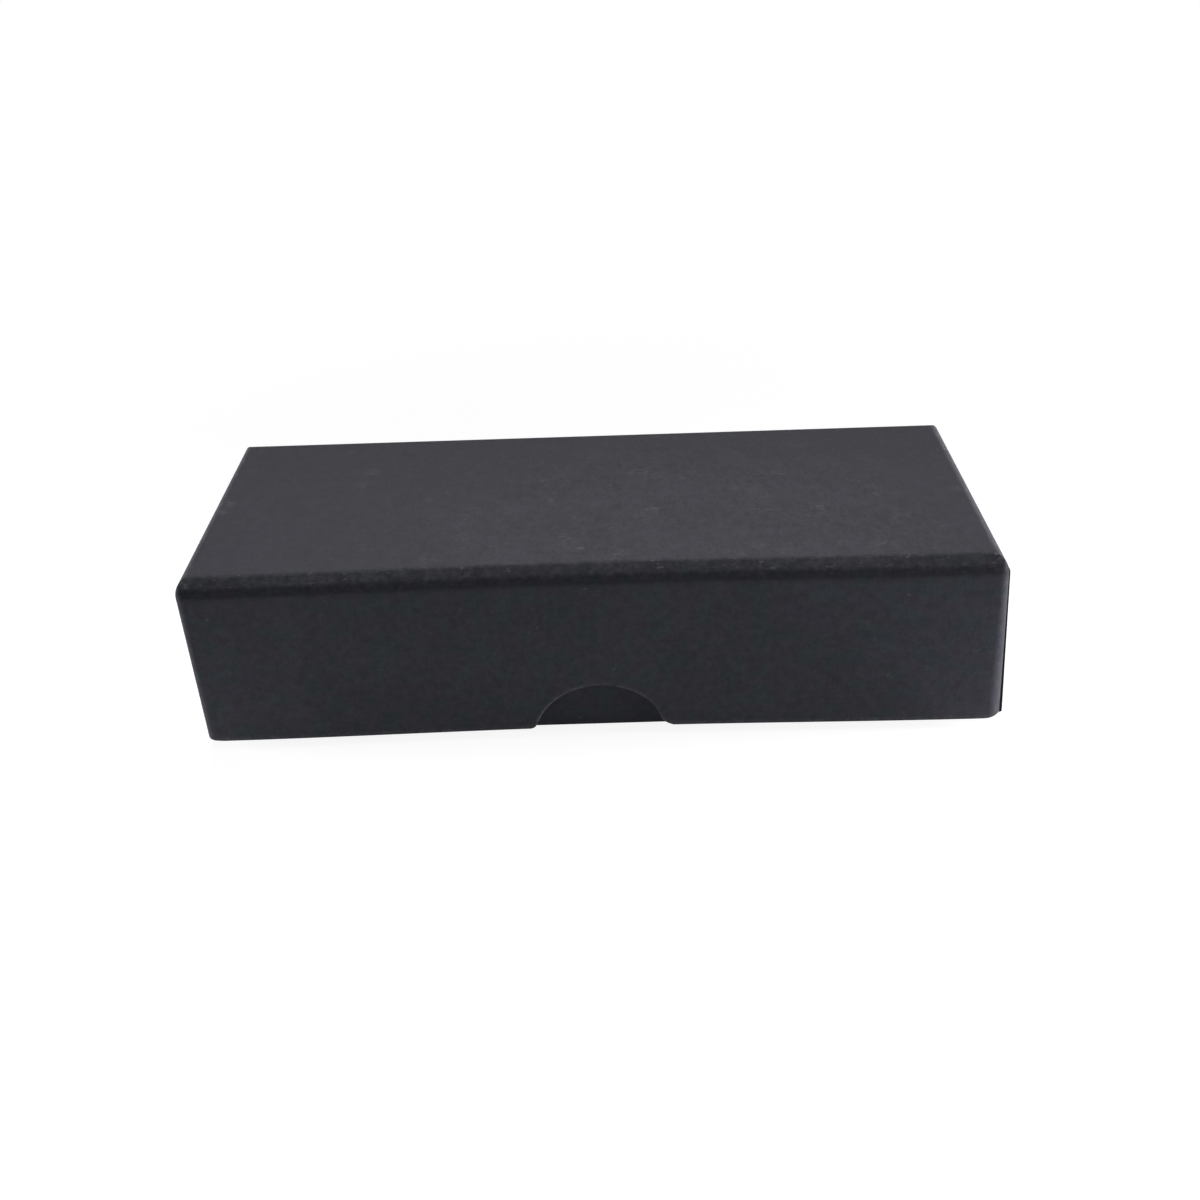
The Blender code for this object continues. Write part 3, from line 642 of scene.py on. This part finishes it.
def ring_point(wrap, column, row, depth_in):
    """Place of a column's point on a row's ring, which lies inset from the walls' faces."""
    along, z = row.where(column)
    side = column.side_x or (1 if along > 0 else -1)
    half_x = wrap.length / 2 - PAPER - row.end_inset
    half_y = wrap.width / 2 - row.inset
    corner = lerp(CORNER_AT_FOLD, CORNER_AT_RIM[side], row.down)
    radius = row.opened * max(corner - max(row.inset, row.end_inset), row.smallest)
    straight_x, straight_y = half_x - radius, half_y - radius
    if column.kind == "long":
        reach = wrap.length / 2 - PAPER - NOMINAL_CORNER
        ease = smooth(abs(along), reach * EASE_FROM, reach)
        return (along + math.copysign(ease, along) * (straight_x - reach), column.side_y * half_y, z)
    flap_edge = min(wrap.width / 2 - FLAP_EDGE[side], straight_y + FLAP_ON_CORNER * radius)
    flap_edge = lerp(half_y, flap_edge, row.opened)

    def on_face(y):
        onto_corner = max(abs(y) - straight_y, 0.0)
        return straight_x + math.sqrt(max(radius**2 - onto_corner**2, 0.0))

    if column.kind == "end":
        y = along * flap_edge / (wrap.width / 2 - FLAP_EDGE[1])
        from_face = wrap.width / 2 - abs(along)
        raised = row.flap * smooth(from_face, TAB_LENGTH + TAB_STEP, TAB_LENGTH)
        return (column.side_x * lerp(on_face(y), half_x + PAPER, raised), y, z)
    foot = min(flap_edge + STEP_WIDTH, half_y)
    if column.kind == "foot":
        groove = GLUE_GROOVE * row.flap if depth_in == 0 else 0.0
        return (column.side_x * (on_face(foot) - groove), column.side_y * foot, z)
    start = math.asin(min(max((foot - straight_y) / radius, 0.0), 1.0)) if radius > 0 else 0.0
    turn = lerp(start, math.pi / 2, column.turn)
    if start > 0 and column.turn == 0:
        turn = lerp(start, math.pi / 2, 0.5 / ARC_STEPS)
    x, y = straight_x + radius * math.cos(turn), straight_y + radius * math.sin(turn)
    return (column.side_x * x, column.side_y * y, z)


def round_inset(wrap, depth_in, z):
    """How far the plain round bend of an end lies inset at a height below the panel."""
    share = min(max((z - depth_in) / (wrap.fold_depth - depth_in), 0.0), 1.0)
    return depth_in + (wrap.end_reach - depth_in) * (1 - math.sqrt(1 - (1 - share) ** 2))


def wrap_rows(wrap, depth_in):
    """Rings from the edge of the panel over the fold, down the wall, over the rim and down the inside, for a
    skin that lies depth_in inside the sheet's outer face."""
    rows = []
    height = wrap.height

    def add(inset, where, end_inset=None, opened=1.0, down=1.0, smallest=CORNER_INSIDE, flap=0.0, worn=0.0):
        if end_inset is None:
            end_inset = inset
        rows.append(Row(inset, end_inset, opened, down, smallest, flap, worn, where))

    def on_rim(grown):
        def where(column):
            if column.notch is None:
                return column.along, height - grown
            (x, z), (nx, nz) = column.notch
            x += nx * grown + NOTCH_SHIFT - NOTCH_FOOT * notch_foot(x, height - z)
            return x, z + nz * grown

        return where

    def between(start_z, share):
        rim = on_rim(RIM_ROLL)

        def where(column):
            x, z = rim(column)
            return lerp(column.along, x, share), lerp(start_z, z, share)

        return where

    for inset, depth, turn in fold_profile():
        z = depth * wrap.fold_depth + depth_in * math.sin(turn)
        reach = inset * wrap.fold_reach + depth_in * math.cos(turn)
        add(
            reach,
            lambda column, z=z: (column.along, z),
            end_inset=round_inset(wrap, depth_in, z),
            opened=min(2 * (1 - inset), 1.0),
            down=0.0,
            smallest=0.0,
            flap=smooth(depth, *FLAP_RISE),
            # rubbed light on the crease, and painted shade where it bends into the wall
            worn=fold_wear_and_shade(turn),
        )
    wall = height - wrap.fold_depth
    steps = round(wall / GRID)
    shares = [i / steps for i in range(1, steps)] + [1 - WORN_BAND / wall, 1 - WORN_BAND / 2 / wall, 1.0]
    for share in sorted(set(shares)):
        worn = smooth(share, 1 - WORN_BAND / wall, 1.0)
        add(depth_in, between(wrap.fold_depth, share), down=share, smallest=0.0, flap=1.0, worn=worn)
    turns = [math.pi / 2 * i / ROLL_STEPS for i in range(1, ROLL_STEPS + 1)]
    radius = RIM_ROLL - depth_in
    for turn in turns:
        grown = RIM_ROLL - radius * math.sin(turn)
        add(RIM_ROLL - radius * math.cos(turn), on_rim(grown), flap=math.cos(turn), worn=1.0)
    for inset in spread(RIM_ROLL, WALL - RIM_ROLL, GRID)[1:]:
        add(inset, on_rim(depth_in))
    for turn in turns:
        grown = RIM_ROLL - radius * math.cos(turn)
        add(WALL - RIM_ROLL + radius * math.sin(turn), on_rim(grown))
    steps = round(TURN_IN / GRID)
    for i in range(1, steps + 1):
        add(WALL - depth_in, between(height - TURN_IN, 1 - i / steps))
    return rows


def deform_lid(wrap, point):
    """Bend of the front wall, lifted corners of the rim and lean of the ends. The rim is up and the front
    wall is on the +Y side, as before the lid is turned over."""
    x, y, z = point
    half_x, half_y = wrap.length / 2, wrap.width / 2
    if y > 0:
        share = min(y / (half_y - BOW_EDGE), 1.0)
        y -= WALL_BOW * share * (1 + math.cos(2 * math.pi * x / wrap.length)) / 2
    outer, full = CORNER_ZONE
    near_end = smooth(abs(x), half_x - outer, half_x - full)
    near_corner = near_end * smooth(abs(y), half_y - outer, half_y - full)
    side = 1 if x > 0 else -1
    z -= RIM_LIFT[side] * near_corner * smooth(z, wrap.height - LIFT_HEIGHT, wrap.height)
    return Vector((x + LID_LEAN * (z / wrap.height - 0.5), y, z)) * FACET_SLACK


def deform_base(wrap, point):
    return Vector(point)


def make_wrap(wrap, deform, place, body, node):
    """The cover paper as one closed sheet: an outer and an inner skin, each built ring by ring with a grid
    for the panel, joined at the end of the turn-in."""
    columns = wall_columns(wrap)
    bm = bmesh.new()
    cut_and_shadow = bm.faces.layers.float.new("cut_edge_and_painted_shadow")
    # wear of rims and folds above 0, painted shade on the folds' bends below 0
    worn = bm.verts.layers.float.new("wear_and_painted_shade")
    skins = []
    for depth_in in (0.0, PAPER):
        rings = []
        for row in wrap_rows(wrap, depth_in):
            ring = [bm.verts.new(ring_point(wrap, column, row, depth_in)) for column in columns]
            for vert in ring:
                vert[worn] = row.worn
            rings.append(ring)
        first = rings[0]
        front = [v.co.x for v, c in zip(first, columns) if c.kind == "long" and c.side_y < 0]
        right = [v.co.y for v, c in zip(first, columns) if c.kind == "end" and c.side_x > 0]
        grid = [[bm.verts.new((x, y, depth_in)) for y in right] for x in front]
        for near, far in zip(grid, grid[1:]):
            for j in range(len(right) - 1):
                bm.faces.new((near[j], near[j + 1], far[j + 1], far[j]))
        skins.append(rings)
    outer, inner = skins
    rings = [*outer, *reversed(inner)]
    for near, far in zip(rings, rings[1:]):
        for i, column in enumerate(columns):
            face = bm.faces.new((near[i - 1], near[i], far[i], far[i - 1]))
            # faces of the flap's cut edge, painted dark as a cut edge and a painted shadow line
            face[cut_and_shadow] = float({column.kind, columns[i - 1].kind} == {"end", "foot"})
    bmesh.ops.remove_doubles(bm, verts=bm.verts, dist=WELD * 4)
    bmesh.ops.dissolve_degenerate(bm, edges=bm.edges, dist=WELD)
    bmesh.ops.recalc_face_normals(bm, faces=bm.faces)
    for vert in bm.verts:
        vert.co = deform(wrap, vert.co)
    bm.transform(place)
    piece = new_mesh_object(wrap.name, bm)
    modifier = piece.modifiers.new("weld_and_smooth", "NODES")
    modifier.node_group = smoothing
    piece.data.materials.append(FINISHES["cover_paper"])
    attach(piece, body)
    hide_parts(node)
    return piece


turned_over = Matrix.Translation((0, 0, LID_TOP)) @ Matrix.Rotation(math.pi, 4, "X")
lid_wrap = Wrap(
    name="lid_cover_paper",
    length=LID_LENGTH,
    width=LID_WIDTH,
    height=LID_HEIGHT,
    fold_depth=LID_FOLD_DEPTH,
    fold_reach=LID_FOLD_REACH,
    end_reach=LID_END_REACH,
    notched=True,
)
base_wrap = Wrap(
    name="tray_cover_paper",
    length=BASE_LENGTH,
    width=BASE_WIDTH,
    height=BASE_HEIGHT,
    fold_depth=BASE_FOLD_DEPTH,
    fold_reach=BASE_FOLD_REACH,
    end_reach=BASE_FOLD_REACH,
    notched=False,
)
make_wrap(lid_wrap, deform_lid, turned_over, "lid", "lid_wrap")
make_wrap(base_wrap, deform_base, Matrix.Identity(4), "tray", "base_wrap")


# Foam

FOAM_VOXEL = {"foam_pad": 0.5 * MM, "foam_insert": 0.3 * MM}
FOAM_CROWN = 0.18 * MM  # how far the top of the foam stands up between its edges
FOAM_BULGE = 0.10 * MM  # how far its outer sides swell at half height
FOAM_PIT = 0.07 * MM
CUT_HOLLOW = 0.16 * MM  # how far a die-cut wall draws back at half height
OUTER_SIDE = 0.97  # share of the half size beyond which a point lies on an outer side
SIDE_SLOPE = 0.5  # largest upward part of the normal on a side
PIT_NOISES = ((1400.0, 0.6), (600.0, 0.5))  # scale per metre and strength
SOFTEN_ROUNDS = 3


def soften(mesh, rounds):
    """Rounds the edges that a knife leaves on foam."""
    bm = bmesh.new()
    bm.from_mesh(mesh)
    for _ in range(rounds):
        axes = {"use_axis_x": True, "use_axis_y": True, "use_axis_z": True}
        bmesh.ops.smooth_vert(bm, verts=bm.verts, factor=0.5, **axes)
    bm.to_mesh(mesh)
    bm.free()


def make_foam(name):
    """Open-cell foam of the CAD solid's form: crowned, swollen outside, hollow at the cuts and pitted."""
    piece = bpy.data.objects.new(name + "_cells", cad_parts[name].data.copy())
    bpy.context.scene.collection.objects.link(piece)
    piece.data.materials.clear()
    weld = piece.modifiers.new("weld", "WELD")
    weld.merge_threshold = WELD * 4
    remesh = piece.modifiers.new("voxels", "REMESH")
    remesh.mode = "VOXEL"
    remesh.voxel_size = FOAM_VOXEL[name]
    graph = bpy.context.evaluated_depsgraph_get()
    mesh = bpy.data.meshes.new_from_object(piece.evaluated_get(graph))
    piece.modifiers.clear()
    piece.data = mesh
    soften(mesh, SOFTEN_ROUNDS)
    low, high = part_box(name)
    centre, half = (low + high) / 2, (high - low) / 2
    normals = [v.normal.copy() for v in mesh.vertices]
    for vert, normal in zip(mesh.vertices, normals):
        p = vert.co.copy()
        from_centre = p - centre
        across, along, up = from_centre.x / half.x, from_centre.y / half.y, from_centre.z / half.z
        if abs(normal.z) < SIDE_SLOPE:
            outer = max(abs(across), abs(along)) > OUTER_SIDE
            middle = max(0.0, 1 - up**2)
            p += normal * (FOAM_BULGE if outer else -CUT_HOLLOW) * middle
        if normal.z > 0:
            p.z += FOAM_CROWN * normal.z * max(0.0, 1 - across**4) * max(0.0, 1 - along**4)
        fine = sum(noise.noise(p * scale) * strength for scale, strength in PIT_NOISES)
        vert.co = p + normal * FOAM_PIT * fine
    mesh.shade_smooth()
    mesh.materials.append(FINISHES["foam"])
    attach(piece, "tray")
    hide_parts(name)


for name in FOAM_VOXEL:
    make_foam(name)


# Studio

FLOOR_RADIUS = 2.5
FLOOR_SEGMENTS = 96
FLOOR_COLOUR = (0.86, 0.86, 0.86, 1.0)
WHITE = (1.0, 1.0, 1.0, 1.0)
GLOW = 0.325  # light that the floor gives back to the object besides what it bounces
GLOW_AT_ENDS = 1.03
GLOW_ENDS = (0.030, 0.060)  # from the middle sideways, where the one gives way to the other
GLOW_FADE = (0.045, 0.12)  # from the middle outwards, where both fade
GLOW_FAR = 0.05  # to this share
WORLD_FILL = 0.0
FLOOR_FADE = (0.06, 0.16)  # from the object outwards, where the lit floor gives way to plain white
FLOOR_WHITE = 0.89  # plain white under the lit floor, to the eye
FLOOR_LIT = 0.40  # share of the lit floor on top of it, which shows the object's shadow


def background_rays(tree):
    """1 for the rays that show the plain white background, by sight, in a mirror or through glass."""
    rays = tree.nodes.new("ShaderNodeLightPath").outputs
    result = rays["Is Camera Ray"]
    for name in ("Is Glossy Ray", "Is Transmission Ray"):
        either = tree.nodes.new("ShaderNodeMath")
        either.operation = "MAXIMUM"
        tree.links.new(result, either.inputs[0])
        tree.links.new(rays[name], either.inputs[1])
        result = either.outputs[0]
    return result


def make_floor():
    graph = Graph("studio_floor")
    seen = background_rays(graph.tree)
    distance = graph.node("VectorMath", {0: graph.place()}, operation="LENGTH").outputs["Value"]
    bounce = graph.node("BsdfDiffuse", {"Color": FLOOR_COLOUR})
    near = graph.smooth_step(distance, *GLOW_FADE, 1.0, GLOW_FAR)
    sideways = graph.math("ABSOLUTE", graph.node("SeparateXYZ", {0: graph.place()}).outputs[0])
    near = graph.product(near, graph.smooth_step(sideways, *GLOW_ENDS, GLOW, GLOW_AT_ENDS))
    glow = graph.node("Emission", {"Color": WHITE, "Strength": near})
    lit = graph.node("AddShader", {0: bounce.outputs[0], 1: glow.outputs[0]})
    far = graph.smooth_step(distance, *FLOOR_FADE)
    under = graph.total(FLOOR_WHITE, graph.product(far, 1.0 - FLOOR_WHITE))
    white = graph.node("Emission", {"Color": WHITE, "Strength": under})
    share = graph.product(FLOOR_LIT, graph.math("SUBTRACT", 1.0, far))
    shown = graph.node("MixShader", {0: share, 2: bounce.outputs[0]})
    eye = graph.node("AddShader", {0: white.outputs[0], 1: shown.outputs[0]})
    mixed = graph.node("MixShader", {0: seen, 1: lit.outputs[0], 2: eye.outputs[0]})
    bm = bmesh.new()
    bmesh.ops.create_circle(bm, cap_ends=True, segments=FLOOR_SEGMENTS, radius=FLOOR_RADIUS)
    floor = new_mesh_object("floor", bm)
    floor.data.materials.append(graph.finish(mixed))


def make_world(strength):
    world = bpy.data.worlds.new("studio")
    bpy.context.scene.world = world
    world.use_nodes = True
    tree = world.node_tree
    tree.nodes.clear()
    fill = tree.nodes.new("ShaderNodeBackground")
    fill.inputs["Color"].default_value = WHITE
    fill.inputs["Strength"].default_value = strength
    white = tree.nodes.new("ShaderNodeBackground")
    white.inputs["Color"].default_value = WHITE
    white.inputs["Strength"].default_value = 1.0
    mixed = tree.nodes.new("ShaderNodeMixShader")
    output = tree.nodes.new("ShaderNodeOutputWorld")
    tree.links.new(background_rays(tree), mixed.inputs[0])
    tree.links.new(fill.outputs[0], mixed.inputs[1])
    tree.links.new(white.outputs[0], mixed.inputs[2])
    tree.links.new(mixed.outputs[0], output.inputs["Surface"])


def make_lamp(name, place, target, size, watts, beam):
    data = bpy.data.lights.new(name, "AREA")
    data.shape = "RECTANGLE"
    data.size, data.size_y = size
    data.energy = watts
    data.spread = math.radians(beam)
    lamp = bpy.data.objects.new(name, data)
    lamp.location = place
    lamp.rotation_euler = (Vector(target) - Vector(place)).to_track_quat("-Z", "Y").to_euler()
    bpy.context.scene.collection.objects.link(lamp)


def make_camera():
    data = bpy.data.cameras.new("photograph")
    data.sensor_width = SENSOR_WIDTH_MM
    data.lens = FOCAL_PIXELS / IMAGE_PIXELS * SENSOR_WIDTH_MM
    data.clip_start = CLIP_START
    data.clip_end = CLIP_END
    camera = bpy.data.objects.new("photograph", data)
    forward = CAMERA_FORWARD.normalized()
    right = forward.cross(CAMERA_UP).normalized()
    up = right.cross(forward)
    turn = Matrix((right, up, -forward)).transposed()
    camera.matrix_world = Matrix.Translation(CAMERA_PLACE) @ turn.to_4x4()
    bpy.context.scene.collection.objects.link(camera)
    bpy.context.scene.camera = camera


# Name, place, target, size, power in watts and beam in degrees
LAMPS = (
    ("overhead", (0.02, -0.02, 0.45), (0.01, 0.0, 0.0), (0.3, 0.3), 0.240, 180.0),
    ("key_high", (0.02, 0.20, 0.38), (0.01, -0.075, 0.0), (0.5, 0.05), 0.0286, 30.0),
    ("key_low", (0.02, 0.26, 0.28), (0.01, -0.075, 0.0), (0.5, 0.05), 0.0926, 30.0),
    ("front_right", (0.17, -0.10, 0.035), (0.03, -0.022, 0.01), (0.06, 0.05), 0.0366, 180.0),
    ("right", (0.30, -0.03, 0.04), (0.05, -0.02, 0.012), (0.06, 0.08), 1.06, 180.0),
    ("left", (-0.30, -0.01, 0.05), (-0.05, -0.02, 0.012), (0.06, 0.10), 0.45, 180.0),
)

make_floor()
make_world(WORLD_FILL)
for lamp in LAMPS:
    make_lamp(*lamp)
make_camera()
bpy.context.scene.view_settings.view_transform = "Standard"
